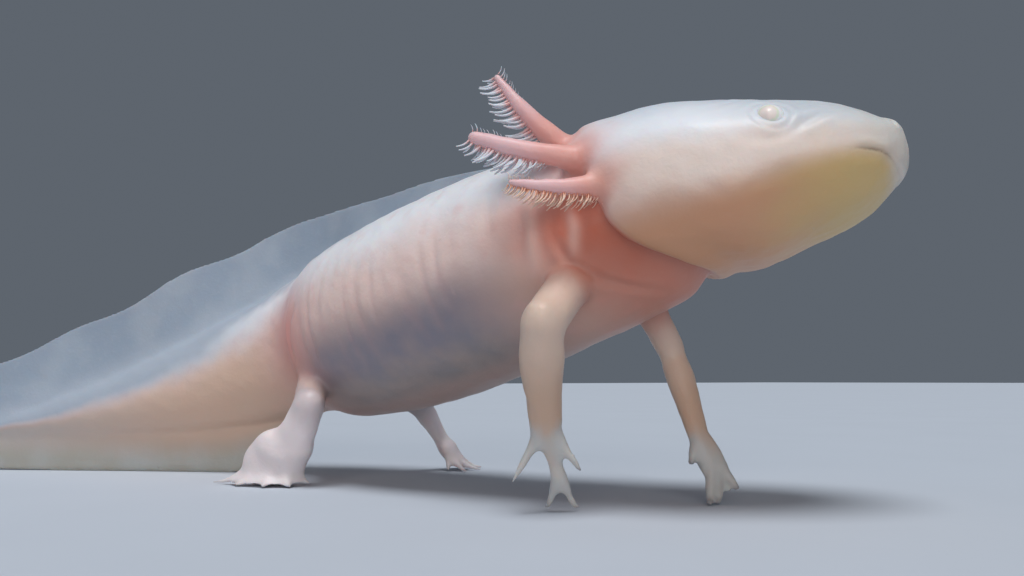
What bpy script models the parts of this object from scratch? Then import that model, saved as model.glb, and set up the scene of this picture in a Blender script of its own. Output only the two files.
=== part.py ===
"""A life-size axolotl, walking on a flat floor with its head and chest raised.

Authoring units are millimetres in a walking frame: the shoulders are above
x = y = 0, +X is forward, +Y is to the animal's left and the floor is z = 0.
The finished model is moved so that the middle of its footprint is the origin.
"""

import bisect
import math

import bmesh
import bpy
from mathutils import Matrix, Vector

MM = 0.001
GAP = 0.3                # between two pieces that touch

# Stations along the body, counted from the snout. The spine below is about 200 mm
# long, and SPINE_SCALE turns a station into a distance along it.
SNOUT_TO_GULAR_FOLD = 37.0
SHOULDERS = 46.0
VENT = 110.0
TAIL_TIP = 207.0

# The line through the middle of the body: x, y, z.
SPINE = (
    (36.4, 17.8, 47.2),      # snout
    (23.0, 10.8, 44.2),      # eyes
    (10.0, 4.0, 40.8),       # back of the head
    (-3.5, 0.0, 36.6),       # shoulders
    (-18.0, 0.0, 33.0),      # chest
    (-35.0, 0.0, 29.2),      # middle of the belly
    (-50.0, 0.0, 26.4),
    (-61.0, 0.3, 24.2),      # hips
    (-72.0, -3.4, 20.4),     # root of the tail
    (-91.0, -15.6, 14.2),
    (-115.0, -33.4, 8.4),
    (-140.0, -50.0, 5.0),    # tip of the tail
)

# Station, half width, height above and depth below the spine.
GIRTH = (
    (0.0, 4.4, 2.5, 2.8),
    (0.7, 6.6, 2.8, 4.0),
    (2.4, 9.2, 3.3, 5.3),
    (5.5, 12.0, 4.9, 7.5),
    (9.5, 14.0, 6.9, 9.1),
    (14.0, 15.4, 8.4, 9.9),
    (20.0, 16.9, 9.9, 11.1),
    (26.0, 17.6, 11.5, 11.5),
    (32.0, 17.0, 12.7, 11.2),
    (37.0, 15.4, 13.5, 11.3),
    (37.3, 13.6, 13.5, 10.4),
    (40.5, 13.0, 13.7, 12.9),
    (46.0, 13.3, 13.6, 14.2),
    (53.0, 14.2, 14.4, 15.0),
    (63.0, 15.0, 15.2, 15.7),
    (76.0, 15.6, 15.4, 16.3),
    (88.0, 15.0, 15.2, 16.2),
    (97.0, 13.2, 14.4, 15.5),
    (104.0, 11.0, 13.4, 13.8),
    (112.0, 8.8, 12.2, 12.2),
    (124.0, 6.6, 10.6, 10.6),
    (138.0, 4.9, 8.2, 8.4),
    (154.0, 3.3, 5.2, 5.4),
    (172.0, 2.0, 2.3, 2.4),
    (190.0, 1.2, 1.2, 1.2),
    (207.0, 0.6, 0.7, 0.7),
)

# The body behind the head: each length's name, its ends and the spacing of its rings.
LENGTHS = (
    ("neck", SNOUT_TO_GULAR_FOLD, SHOULDERS, 2.6),
    ("chest", SHOULDERS, 60.0, 1.83),
    ("belly", 60.0, 98.0, 1.83),
    ("hips", 98.0, VENT, 3.0),
    ("tail_root", VENT, 150.0, 5.0),
    ("tail_end", 150.0, TAIL_TIP, 8.0),
)

# Station and the fin's height over the flesh of the back.
BACK_FIN = (
    (50.0, 0.0),
    (60.0, 1.6),
    (76.0, 4.1),
    (86.0, 5.4),
    (98.0, 7.8),
    (111.0, 10.8),
    (122.0, 11.8),
    (134.0, 12.3),
    (150.0, 11.8),
    (166.0, 11.6),
    (177.0, 10.5),
    (190.0, 7.6),
    (200.0, 4.2),
    (207.0, 1.2),
)

# Station and the height over the floor of the lower fin's edge.
BELLY_FIN_EDGE = (
    (112.0, 13.0),
    (119.0, 8.4),
    (126.0, 3.0),
    (133.0, 0.0),
    (168.0, 0.0),
    (180.0, 0.3),
    (194.0, 1.9),
    (207.0, 4.0),
)

# Height of the mouth's line over the spine, by station.
MOUTH_LINE = (
    (0.0, -5.5),
    (1.6, -5.2),
    (2.6, -4.0),
    (3.6, -2.7),
    (5.0, -2.1),
    (7.0, -1.7),
    (14.0, -1.9),
    (21.0, -2.8),
    (28.0, -3.4),
    (37.0, -3.8),
)


def blend(table, at, column=1):
    """A smooth curve through one column of a table, by its first column."""
    keys = [row[0] for row in table]
    values = [row[column] for row in table]
    at = min(max(at, keys[0]), keys[-1])
    i = min(max(bisect.bisect_right(keys, at) - 1, 0), len(keys) - 2)

    def slope(k):
        low, high = max(k - 1, 0), min(k + 1, len(keys) - 1)
        return (values[high] - values[low]) / (keys[high] - keys[low])

    span = keys[i + 1] - keys[i]
    t = (at - keys[i]) / span
    return (
        values[i] * (1 + 2 * t) * (1 - t) ** 2
        + values[i + 1] * t * t * (3 - 2 * t)
        + slope(i) * span * t * (1 - t) ** 2
        - slope(i + 1) * span * t * t * (1 - t)
    )


class Path:
    """A smooth line through points, read by the distance along it."""

    def __init__(self, points, steps=16):
        points = [Vector(p) for p in points]
        points = [2 * points[0] - points[1], *points, 2 * points[-1] - points[-2]]
        self.line = [points[1]]
        for a, b, c, d in zip(points, points[1:], points[2:], points[3:]):
            for k in range(1, steps + 1):
                t = k / steps
                self.line.append(
                    (2 * b + (c - a) * t + (2 * a - 5 * b + 4 * c - d) * t**2
                     + (3 * b - a - 3 * c + d) * t**3) / 2
                )
        self.measure = [0.0]
        for p, q in zip(self.line, self.line[1:]):
            self.measure.append(self.measure[-1] + (q - p).length)
        self.length = self.measure[-1]

    def point(self, at):
        i = min(max(bisect.bisect_right(self.measure, at) - 1, 0), len(self.line) - 2)
        span = self.measure[i + 1] - self.measure[i]
        return self.line[i].lerp(self.line[i + 1], (at - self.measure[i]) / span)

    def forward(self, at, reach=1.5):
        return (self.point(at + reach) - self.point(at - reach)).normalized()


spine = Path(SPINE)
SPINE_SCALE = spine.length / TAIL_TIP


def spine_frame(at):
    """The spine's point at a station, with the left and up directions there."""
    toward_tail = spine.forward(at * SPINE_SCALE)
    left = toward_tail.cross(Vector((0, 0, 1))).normalized()
    return spine.point(at * SPINE_SCALE), left, left.cross(toward_tail)


def material(name, colour, roughness, alpha=1.0):
    made = bpy.data.materials.new(name)
    made.use_nodes = True
    shader = made.node_tree.nodes["Principled BSDF"]
    shader.inputs["Base Color"].default_value = (*colour, 1)
    shader.inputs["Roughness"].default_value = roughness
    shader.inputs["Metallic"].default_value = 0.0
    shader.inputs["Alpha"].default_value = alpha
    return made


def solid(name, bm, finish, parent):
    """A named object from a bmesh that was made in millimetres."""
    if bm.calc_volume(signed=True) < 0:
        bmesh.ops.reverse_faces(bm, faces=bm.faces)
    bmesh.ops.scale(bm, vec=(MM, MM, MM), verts=bm.verts)
    mesh = bpy.data.meshes.new(name)
    bm.to_mesh(mesh)
    bm.free()
    mesh.shade_smooth()
    mesh.set_sharp_from_angle(angle=math.radians(40))
    mesh.materials.append(finish)
    obj = bpy.data.objects.new(name, mesh)
    bpy.context.scene.collection.objects.link(obj)
    obj.parent = parent
    return obj


def loft(rings):
    """A closed bmesh through rings of equal count, with a fan for a cap at each end."""
    bm = bmesh.new()
    loops = [[bm.verts.new(p) for p in ring] for ring in rings]
    for low, high in zip(loops, loops[1:]):
        for k in range(len(low)):
            n = (k + 1) % len(low)
            bm.faces.new((low[k], low[n], high[n], high[k]))
    for end in (loops[0][::-1], loops[-1]):
        middle = bm.verts.new(sum((v.co for v in end), Vector()) / len(end))
        for p, q in zip(end, [*end[1:], end[0]]):
            bm.faces.new((p, q, middle))
    return bm


def hide(obj):
    obj.hide_render = True
    obj.display_type = "WIRE"


def combine(obj, other, operation):
    """Cuts other from obj, or joins it to obj, and hides other."""
    hide(other)
    modifier = obj.modifiers.new(operation.lower(), "BOOLEAN")
    modifier.operation = operation
    modifier.solver = "EXACT"
    modifier.object = other


def swollen(obj):
    """A copy of a solid that is larger by the gap all round, to cut its neighbours back with."""
    mesh = obj.data.copy()
    push = [v.normal.copy() for v in mesh.vertices]
    for v, normal in zip(mesh.vertices, push):
        v.co += normal * GAP * MM
    made = bpy.data.objects.new(f"{obj.name}_swollen", mesh)
    bpy.context.scene.collection.objects.link(made)
    made.parent = obj.parent
    hide(made)
    return made


# ---------------------------------------------------------------- the body

POINTS_ROUND = 20
HEAD_SQUARENESS = 2.35
GROOVES_FROM, GROOVES_TO, GROOVES = 54.0, 98.0, 12   # the ribs' grooves on the flank
GROOVE_DEPTH = 0.02                                  # as a share of the girth
EYE_AT, EYE_SIDE, EYE_HEIGHT = 16.8, 13.6, 4.0       # in the head's frame
EYE_RADIUS = 1.9


def body_outline(at, angle):
    """Sideways and upward distance of the skin from the spine, at an angle from the left side."""
    width, rise, drop = (blend(GIRTH, at, c) for c in (1, 2, 3))
    squareness = HEAD_SQUARENESS if at < SNOUT_TO_GULAR_FOLD else 2.1
    side = math.copysign(abs(math.cos(angle)) ** (2 / squareness), math.cos(angle))
    height = math.copysign(abs(math.sin(angle)) ** (2 / squareness), math.sin(angle))
    if GROOVES_FROM < at < GROOVES_TO:
        phase = (at - GROOVES_FROM) / (GROOVES_TO - GROOVES_FROM) * GROOVES
        flank = abs(math.cos(angle)) ** 0.5
        side *= 1 - GROOVE_DEPTH * flank * (0.5 + 0.5 * math.cos(2 * math.pi * phase))
    return side * width, height * (rise if height > 0 else drop)


def leaning(at, angle, tilt):
    """The station at an angle round a ring whose lowest part leans to the snout."""
    height = math.sin(angle)
    return at + tilt * (-abs(height) ** 2.2 if height < 0 else 0.2 * height)


# How far the lowest part of a ring leans to the snout, by station.
LEAN = ((0.0, 0.0), (20.0, 1.4), (SNOUT_TO_GULAR_FOLD, 9.0), (47.0, 3.2), (62.0, 0.0))


def body_ring(at):
    """One ring of the body's skin."""
    ring = []
    for k in range(POINTS_ROUND):
        angle = 2 * math.pi * k / POINTS_ROUND
        centre, left, up = spine_frame(leaning(at, angle, blend(LEAN, at)))
        side, height = body_outline(at, angle)
        ring.append(centre + left * side + up * height)
    return ring


def steps(start, end, spacing):
    count = max(1, round((end - start) / spacing))
    return [start + (end - start) * k / count for k in range(count + 1)]


def body_length(name, stations, finish, root):
    """One length of the body, through its rings."""
    return solid(name, loft([body_ring(at) for at in stations]), finish, root)


JAW_POINTS = 10
LIP_OVERHANG = 2.9       # the upper lip's front stands this far before the lower jaw's


def head_stations():
    return [0.0, 0.7, 1.8, 2.9, 4.0, 5.5, 9.5, 14.0, 18.0, 22.0, 27.0, 32.0, SNOUT_TO_GULAR_FOLD]


def half_head(above):
    """Rings of the head above the mouth, or of the jaw and throat below it."""
    rings = []
    for at in head_stations():
        if at < LIP_OVERHANG and not above:
            continue
        lean = blend(LEAN, at)
        mouth = min(0.93, -blend(MOUTH_LINE, at) / blend(GIRTH, at, 3))
        start = math.asin(mouth ** (HEAD_SQUARENESS / 2))
        ring = []
        for k in range(JAW_POINTS + 1):
            if above:
                angle = -start + (math.pi + 2 * start) * k / JAW_POINTS
            else:
                angle = -start - (math.pi - 2 * start) * k / JAW_POINTS
            centre, left, up = spine_frame(leaning(at, angle, lean))
            side, height = body_outline(at, angle)
            if k in (0, JAW_POINTS):
                height += GAP / 2 if above else -GAP / 2
            ring.append(centre + left * side + up * height)
        rings.append(ring)
    return rings


def make_head(neck_cut, skin, eye_finish, root):
    head = solid("head", loft(half_head(True)), skin, root)
    jaw = solid("lower_jaw", loft(half_head(False)), skin, root)
    combine(head, neck_cut, "DIFFERENCE")
    combine(jaw, neck_cut, "DIFFERENCE")
    for name, sign in (("eye_left", 1), ("eye_right", -1)):
        centre, left, up = spine_frame(EYE_AT)
        place = centre + left * EYE_SIDE * sign + up * EYE_HEIGHT
        outward = (left * sign + up * 0.3).normalized()
        turned = outward.to_track_quat("Z", "Y").to_matrix().to_4x4()
        for radius in (EYE_RADIUS, EYE_RADIUS + GAP):
            bm = bmesh.new()
            bmesh.ops.create_uvsphere(
                bm, u_segments=12, v_segments=7, radius=radius,
                matrix=Matrix.Translation(place) @ turned,
            )
            if radius == EYE_RADIUS:
                solid(name, bm, eye_finish, root)
            else:
                combine(head, solid(f"{name}_socket", bm, eye_finish, root), "DIFFERENCE")


# ---------------------------------------------------------------- the fins

FIN_ROOT, FIN_EDGE = 1.1, 0.45   # half thickness
FIN_BURIED = 2.0                 # how far the root starts inside the flesh


def fin_ring(at, low, high):
    """A thin upright section between two heights over the spine."""
    centre, left, up = spine_frame(at)
    root = FIN_ROOT if abs(low) < abs(high) else FIN_EDGE
    edge = FIN_EDGE if abs(low) < abs(high) else FIN_ROOT
    middle = low + (high - low) * 0.5
    half = (root + edge) / 2
    profile = (
        (root, low), (half, middle), (edge, high), (-edge, high), (-half, middle), (-root, low),
    )
    return [centre + left * side + up * height for side, height in profile]


def upper_fin(name, start, end, finish, root):
    rings = []
    for at in steps(start, end, 8.0):
        flesh = blend(GIRTH, at, 2)
        buried = min(FIN_BURIED, flesh * 0.8)
        rings.append(fin_ring(at, flesh - buried, flesh + max(blend(BACK_FIN, at), 0.3)))
    return solid(name, loft(rings), finish, root)


def lower_fin(name, start, end, finish, root):
    """The fin under the tail. Its edge lies on the floor for part of its length."""
    rings = []
    for at in steps(start, end, 6.0):
        centre, _, up = spine_frame(at)
        flesh = blend(GIRTH, at, 3)
        edge = max(flesh + 0.3, (centre.z - blend(BELLY_FIN_EDGE, at)) / up.z)
        ring = fin_ring(at, -flesh + min(FIN_BURIED, flesh * 0.8), -edge)
        rings.append([Vector((p.x, p.y, max(p.z, 0.0))) for p in ring])
    return solid(name, loft(rings), finish, root)


# ---------------------------------------------------------------- the legs

LIMB_SIDES = 9
DIGIT_SIDES = 6


def tube(points, radii, sides=LIMB_SIDES, flat=(1.0, 1.0), across=None, rings=None):
    """Rings round a smooth path. flat squeezes the section at the path's start and end."""
    path = Path(points)
    stops = [(path.length * k / (len(radii) - 1), r) for k, r in enumerate(radii)]
    made = []
    for at in steps(0.0, path.length, path.length / (rings or 2 * len(points))):
        forward = path.forward(at, path.length * 0.04)
        side = across or Vector((1, 0, 0))
        side = (side - forward * side.dot(forward)).normalized()
        other = forward.cross(side)
        radius = blend(stops, at)
        squeezed = radius * (flat[0] + (flat[1] - flat[0]) * at / path.length)
        ring = []
        for k in range(sides):
            angle = 2 * math.pi * k / sides
            ring.append(
                path.point(at)
                + side * radius * math.cos(angle)
                + other * squeezed * math.sin(angle)
            )
        made.append(ring)
    return made


def on_floor(rings):
    """Rings with what is under the floor pressed flat onto it."""
    return [[Vector((p.x, p.y, max(p.z, 0.0))) for p in ring] for ring in rings]


class Leg:
    """A leg's joints and its palm, and each digit's branching point and tip.

    A digit branches off at a share of the way down the palm.
    """

    def __init__(self, name, joints, radii, palm, half_width, digits):
        self.name = name
        self.joints = [Vector(j) for j in joints]
        self.radii = radii
        self.palm = Vector(palm)
        self.half_width = half_width
        self.digits = [(share, Vector(tip)) for share, *tip in digits]

    def across(self):
        return (self.digits[-1][1] - self.digits[0][1]).normalized()


DIGIT_RADIUS = 0.8
LEGS = (
    Leg("foreleg_right",
        ((2.4, -5.0, 31.5), (5.2, -17.4, 23.6), (1.1, -11.9, 11.2)),
        ((3.2, 2.9, 2.8), (2.9, 2.4, 2.2)),
        (1.5, -9.4, 4.0), 1.3,
        ((0.15, -1.9, -15.1, 3.8), (0.9, -2.1, -8.4, 0.3), (0.9, 1.6, -5.2, 0.3), (0.2, 4.3, -9.1, 5.4))),
    Leg("foreleg_left",
        ((2.4, 5.0, 31.5), (3.3, 14.2, 21.4), (8.6, 12.6, 9.2)),
        ((3.2, 2.3, 2.1), (2.1, 1.8, 1.5)),
        (11.0, 13.0, 4.6), 2.0,
        ((0.3, 8.7, 10.3, 5.4), (0.9, 11.8, 9.8, 0.3), (0.9, 12.3, 11.2, 0.3), (0.8, 13.6, 14.4, 2.0))),
    Leg("hind_leg_right",
        ((-56.0, -5.0, 19.0), (-45.0, -14.8, 12.8), (-50.2, -14.0, 6.8)),
        ((3.4, 2.7, 2.6), (2.7, 3.0, 3.7)),
        (-54.0, -15.6, 3.2), 4.9,
        ((0.7, -47.9, -11.4, 0.3), (0.9, -47.4, -16.1, 0.3), (0.9, -50.9, -19.2, 0.3),
         (0.9, -56.6, -20.8, 0.3), (0.7, -63.5, -20.4, 0.3))),
    Leg("hind_leg_left",
        ((-56.0, 5.0, 19.0), (-52.4, 15.6, 12.4), (-53.2, 22.2, 5.4)),
        ((3.4, 2.8, 2.3), (2.2, 1.9, 1.8)),
        (-51.4, 23.6, 2.6), 3.0,
        ((0.7, -48.6, 19.4, 0.3), (0.9, -45.2, 21.0, 0.3), (0.9, -45.4, 25.4, 0.3),
         (0.9, -49.0, 29.2, 0.3), (0.7, -54.4, 30.4, 0.3))),
)


def make_leg(leg, body_cut, finish, root):
    hip, knee, ankle = leg.joints
    down_thigh, down_calf = (knee - hip).normalized(), (ankle - knee).normalized()
    thigh = [hip, hip.lerp(knee, 0.5) + Vector((0, 0, 0.6)), knee - down_thigh * GAP / 2]
    upper = solid(f"{leg.name}_upper", loft(tube(thigh, leg.radii[0])), finish, root)
    combine(upper, body_cut, "DIFFERENCE")
    bend = knee - down_calf * leg.radii[1][0] * 0.4
    calf = knee.lerp(ankle, 0.45) + down_thigh * 0.4
    across = leg.across()
    rings = tube(
        [bend, calf, ankle - down_calf * GAP / 2], (leg.radii[1][0] * 0.8, *leg.radii[1]),
        flat=(1.0, 0.75), across=across,
    )
    lower = solid(f"{leg.name}_lower", loft(rings), finish, root)
    combine(lower, body_cut, "DIFFERENCE")
    combine(lower, swollen(upper), "DIFFERENCE")
    make_foot(f"{leg.name}_foot", leg, lower, finish, root)


def make_foot(name, leg, shank, finish, root):
    """A palm with splayed digits, flat where it stands."""
    ankle, palm, across = leg.joints[-1], leg.palm, leg.across()
    start = ankle + (palm - ankle).normalized() * GAP / 2
    radii = (leg.radii[1][-1], leg.half_width, leg.half_width)
    rings = tube([start, start.lerp(palm, 0.5), palm], radii, LIMB_SIDES, (0.75, 0.42), across, rings=4)
    foot = solid(name, loft(on_floor(rings)), finish, root)
    for k, (share, tip) in enumerate(leg.digits):
        spread = (k / (len(leg.digits) - 1) - 0.5) * 2
        width = leg.radii[1][-1] + (leg.half_width - leg.radii[1][-1]) * share
        base = ankle.lerp(palm, share) + across * spread * width * 0.6
        knuckle = base.lerp(tip, 0.6)
        if tip.z < DIGIT_RADIUS:
            knuckle.z = tip.z + 0.15 * (base.z - tip.z)
        rings = tube(
            [base, knuckle, tip], (DIGIT_RADIUS * 1.15, DIGIT_RADIUS, DIGIT_RADIUS * 0.65),
            DIGIT_SIDES, across=Vector((0, 0, 1)).cross(tip - base).normalized(), rings=4,
        )
        digit = solid(f"{name}_digit_{k}", loft(on_floor(rings)), finish, root)
        combine(foot, digit, "UNION")
    combine(foot, swollen(shank), "DIFFERENCE")


# ---------------------------------------------------------------- the gills

# For each pair: the station, side and height of the root in the body's frame, then
# how far the right and the left tip reach back, out and up, the stalk's radius at its
# root, and the shares of that radius at its middle, near its tip and at its tip.
GILLS = {
    "lower": ((36.2, 14.0, 1.5), (10.4, 5.4, 3.6), (10.2, 6.4, 1.8), 1.7, (0.78, 0.46, 0.24)),
    "middle": ((38.2, 13.0, 6.2), (11.7, 4.8, 7.1), (11.7, 6.2, 4.4), 1.8, (0.8, 0.62, 0.42)),
    "upper": ((40.6, 10.6, 9.8), (4.6, 3.6, 11.6), (8.4, 6.8, 7.2), 1.9, (0.72, 0.42, 0.24)),
}
STALK_SHARES = (0.0, 0.22, 0.5, 0.8, 1.0)     # from inside the neck to the tip
FILAMENT_REACH = 3.4
FILAMENTS = ((0.2, 0.0), (0.4, 0.85), (0.6, 1.0), (0.85, 0.8), (1.0, 0.3))  # along a stalk
FILAMENT_HALF_THICKNESS = 0.3
COMB_TEETH = 7


def gill_section(centre, back, down, out, radius, reach):
    """A round stalk with two thin vanes that hang from it."""
    section = []
    for k in range(5):
        angle = math.pi * (k / 4)
        section.append(centre + out * radius * math.cos(angle) - down * radius * math.sin(angle))
    thin = FILAMENT_HALF_THICKNESS
    for sign in (-1, 1):
        way = (down + out * 0.45 * sign).normalized()
        flat = back.cross(way).normalized() * thin
        if flat.dot(out) * sign < 0:
            flat = -flat
        edge = centre + way * (radius + reach)
        near = centre + down * radius * 0.7
        outer, inner = edge + flat, edge - flat
        if sign < 0:
            section += [outer, inner, near - out * 0.15 * radius]
        else:
            section += [near + out * 0.15 * radius, inner, outer]
    return section


def make_gill(name, side, place, reach, radius, taper, cutters, finish, root):
    centre, left, up = spine_frame(place[0])
    start = centre + left * place[1] * side + up * place[2]
    ahead = up.cross(left) * -1
    if ahead.dot(Vector((1, 0, 0))) < 0:
        ahead = -ahead
    tip = start - ahead * reach[0] + left * reach[1] * side + up * reach[2]
    inside = start + (start - tip).normalized() * 3.0 - left * side * 1.5
    bend = start.lerp(tip, 0.55) + left * side * 0.9 - up * 0.5
    path = Path([inside, start, bend, tip])
    stalk_taper = list(zip(STALK_SHARES, (1.1, 1.0, *taper)))
    rings = []
    for k in range(2 * COMB_TEETH + 1):
        share = k / (2 * COMB_TEETH)
        at = path.length * share
        back = path.forward(at, path.length * 0.04)
        out = left * side
        out = (out - back * out.dot(back)).normalized()
        down = back.cross(out)
        if down.z > 0:
            down = -down
        stalk = radius * blend(stalk_taper, share)
        grown = blend(FILAMENTS, share)
        tooth = 1.0 if k % 2 else 0.55
        rings.append(gill_section(
            path.point(at), back, down, out, stalk, max(0.3, FILAMENT_REACH * grown * tooth)
        ))
    gill = solid(name, loft(rings), finish, root)
    for cutter in cutters:
        combine(gill, cutter, "DIFFERENCE")
    return gill


# ---------------------------------------------------------------- the whole

def clear_scene():
    for obj in list(bpy.data.objects):
        bpy.data.objects.remove(obj)


def centre_on_floor(root):
    """Moves the model so that the middle of its footprint is the origin."""
    bpy.context.view_layer.update()
    graph = bpy.context.evaluated_depsgraph_get()
    shown = [o for o in root.children_recursive if o.type == "MESH" and not o.hide_render]
    corners = [
        o.evaluated_get(graph).matrix_world @ Vector(c)
        for o in shown
        for c in o.evaluated_get(graph).bound_box
    ]
    for axis in (0, 1):
        values = [c[axis] for c in corners]
        root.location[axis] = -(min(values) + max(values)) / 2


def main():
    clear_scene()
    skin = material("skin", (0.86, 0.68, 0.62), 0.35)
    fin = material("fin", (0.62, 0.68, 0.74), 0.3, 0.75)
    gill = material("gill", (0.84, 0.50, 0.48), 0.4)
    eye = material("eye", (0.90, 0.80, 0.72), 0.1)
    root = bpy.data.objects.new("axolotl", None)
    bpy.context.scene.collection.objects.link(root)

    every = head_stations()
    lengths = []
    for name, start, end, spacing in LENGTHS:
        stations = steps(start + GAP, end, spacing)
        lengths.append(body_length(name, stations, skin, root))
        every += stations
    make_head(swollen(lengths[0]), skin, eye, root)
    whole = body_length("body", every, skin, root)
    hide(whole)
    body_cut = swollen(whole)
    for leg in LEGS:
        make_leg(leg, body_cut, skin, root)
    fins = (
        upper_fin("back_fin", 50.0, VENT, fin, root),
        upper_fin("tail_fin_upper", VENT + GAP, TAIL_TIP, fin, root),
        lower_fin("tail_fin_lower", VENT + 1.0, TAIL_TIP, fin, root),
    )
    for piece in fins:
        combine(piece, body_cut, "DIFFERENCE")
    for name, side in (("left", 1), ("right", -1)):
        cutters = [body_cut]
        for label, (place, right, left, radius, taper) in GILLS.items():
            stalk = make_gill(
                f"gill_{name}_{label}", side, place, left if side > 0 else right, radius, taper,
                cutters, gill, root,
            )
            cutters.append(swollen(stalk))
    centre_on_floor(root)


main()
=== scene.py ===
"""The looks of a pale axolotl that walks on a flat floor with its head raised.

The skin is pressed together from closed shapes, made one by a voxel remesh, relaxed
where limbs, gills and fins grow out of it, and then given its folds. Everything is
worked out in millimetres in a walking frame: the shoulders are above x = y = 0, +X is
forward, +Y is to the animal's left and the floor is z = 0. The frame's right eye says
where that lies in the part's own frame.
"""

import math

import bpy
import numpy as np
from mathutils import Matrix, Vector, noise
from mathutils.kdtree import KDTree


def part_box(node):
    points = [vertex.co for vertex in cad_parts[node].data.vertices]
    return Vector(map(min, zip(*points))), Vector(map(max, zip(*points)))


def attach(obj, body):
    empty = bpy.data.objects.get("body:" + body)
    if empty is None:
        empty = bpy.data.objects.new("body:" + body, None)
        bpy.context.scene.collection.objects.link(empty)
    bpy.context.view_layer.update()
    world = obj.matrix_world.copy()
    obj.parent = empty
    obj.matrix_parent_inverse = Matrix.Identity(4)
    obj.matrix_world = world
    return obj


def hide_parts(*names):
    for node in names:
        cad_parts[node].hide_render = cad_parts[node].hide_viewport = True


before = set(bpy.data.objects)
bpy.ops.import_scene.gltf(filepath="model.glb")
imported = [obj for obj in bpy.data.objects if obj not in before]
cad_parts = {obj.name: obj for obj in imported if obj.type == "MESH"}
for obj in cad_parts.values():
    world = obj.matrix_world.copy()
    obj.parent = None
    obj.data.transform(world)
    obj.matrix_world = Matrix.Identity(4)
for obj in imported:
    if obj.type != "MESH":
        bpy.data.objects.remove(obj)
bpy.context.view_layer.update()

MM = 0.001
SIDES = (-1, 1)  # right and left
FINE_VOXEL = 0.3
VOXEL = FINE_VOXEL  # a coarse skin while other pieces are worked on
MOST_TRIANGLES = 194000
# Rounds of relaxing: the whole skin, its joins, and the skin again after the folds.
FIRST_ROUNDS, JOIN_ROUNDS, LAST_ROUNDS = 10, 30, 2
MASK_ROUNDS, TIP_ROUNDS = 24, 5  # rounds that soften a mask where parts meet

# ------- the body's lines

# Stations along the body are counted from the snout, 0 to TAIL_TIP.
GULAR_FOLD = 37.0
TAIL_TIP = 207.0

# The line through the middle of the body: x, y, z.
SPINE = (
    (36.4, 17.8, 47.2),  # snout
    (23, 10.8, 44.2),  # eyes
    (10, 4, 40.8),  # back of the head
    (-3.5, 0, 36.6),  # shoulders
    (-18, 0, 33),  # chest
    (-35, 0, 29.2),  # middle of the belly
    (-50, 0, 26.4),
    (-61, 0.3, 24.2),  # hips
    (-72, -3.4, 20.4),  # root of the tail
    (-91, -15.6, 14.2),
    (-115, -33.4, 8.4),
    (-140, -50, 5),  # tip of the tail
)

# Station, half width, height above and depth below the spine.
HEAD = (
    (0, 4.4, 2.5, 2.8),
    (0.7, 6.6, 2.8, 4),
    (2.4, 9.2, 3.3, 5.3),
    (5.5, 12, 4.9, 7.5),
    (9.5, 14, 6.9, 9.1),
    (14, 15.4, 8.4, 9.9),
    (20, 16.9, 9.9, 11.1),
    (26, 17.6, 11.5, 11.5),
    (32, 17, 12.7, 11.2),
    (36.2, 15.9, 13.4, 11.4),
    (37.3, 14.4, 13.3, 10.4),
)
TRUNK = (
    (30, 12.2, 12.2, 9.4),
    (37.3, 13.4, 13.5, 10.2),
    (40.5, 13, 13.7, 12.9),
    (46, 13.3, 13.6, 14.2),
    (53, 14.2, 14.4, 15),
    (63, 15, 15.2, 15.7),
    (76, 15.6, 15.4, 16.3),
    (88, 15, 15.2, 16.2),
    (97, 13.2, 14.4, 15.5),
    (104, 11, 13.4, 13.8),
    (112, 8.8, 12.2, 12.2),
    (124, 6.6, 10.6, 10.6),
    (138, 4.9, 8.2, 8.4),
    (154, 3.3, 5.2, 5.4),
    (172, 2, 2.3, 2.4),
    (190, 1.2, 1.2, 1.2),
    (207, 0.6, 0.7, 0.7),
)
HEAD_SQUARENESS, TRUNK_SQUARENESS, MEAN_SQUARENESS = 2.35, 2.1, 2.2

# How far the lowest part of a ring leans to the snout, by station.
LEAN = ((0, 0), (20, 1.4), (GULAR_FOLD, 9), (47, 3.2), (62, 0))

# Height of the mouth's line over the spine, by station. The upper lip hangs over in front.
MOUTH_LINE = (
    (0, -5.5), (1.6, -5.2), (2.6, -4), (3.6, -2.7), (5, -2.1), (7, -1.7),
    (14, -1.9), (21, -2.8), (28, -3.4), (37, -3.8),
)

# Station and the fin's height over the flesh of the back.
BACK_FIN = (
    (50, 0), (60, 1.6), (76, 4.1), (86, 5.4), (98, 7.8), (111, 10.8),
    (122, 11.8), (134, 12.3), (150, 11.8), (166, 11.6), (177, 10.5),
    (190, 7.6), (200, 4.2), (207, 1.2),
)

# Station and the height over the floor of the lower fin's edge.
BELLY_FIN_EDGE = (
    (112, 13), (119, 8.4), (126, 3), (133, 0), (168, 0),
    (180, 0.3), (194, 1.9), (207, 4),
)
FIN_ROOT, FIN_EDGE = 1.3, 0.34  # half thickness
FIN_FROM, BELLY_FIN_FROM = 50.0, 112.0

EYE_AT, EYE_SIDE, EYE_HEIGHT = 16.8, 13.6, 4.0
EYE_RADIUS = 1.9

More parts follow.
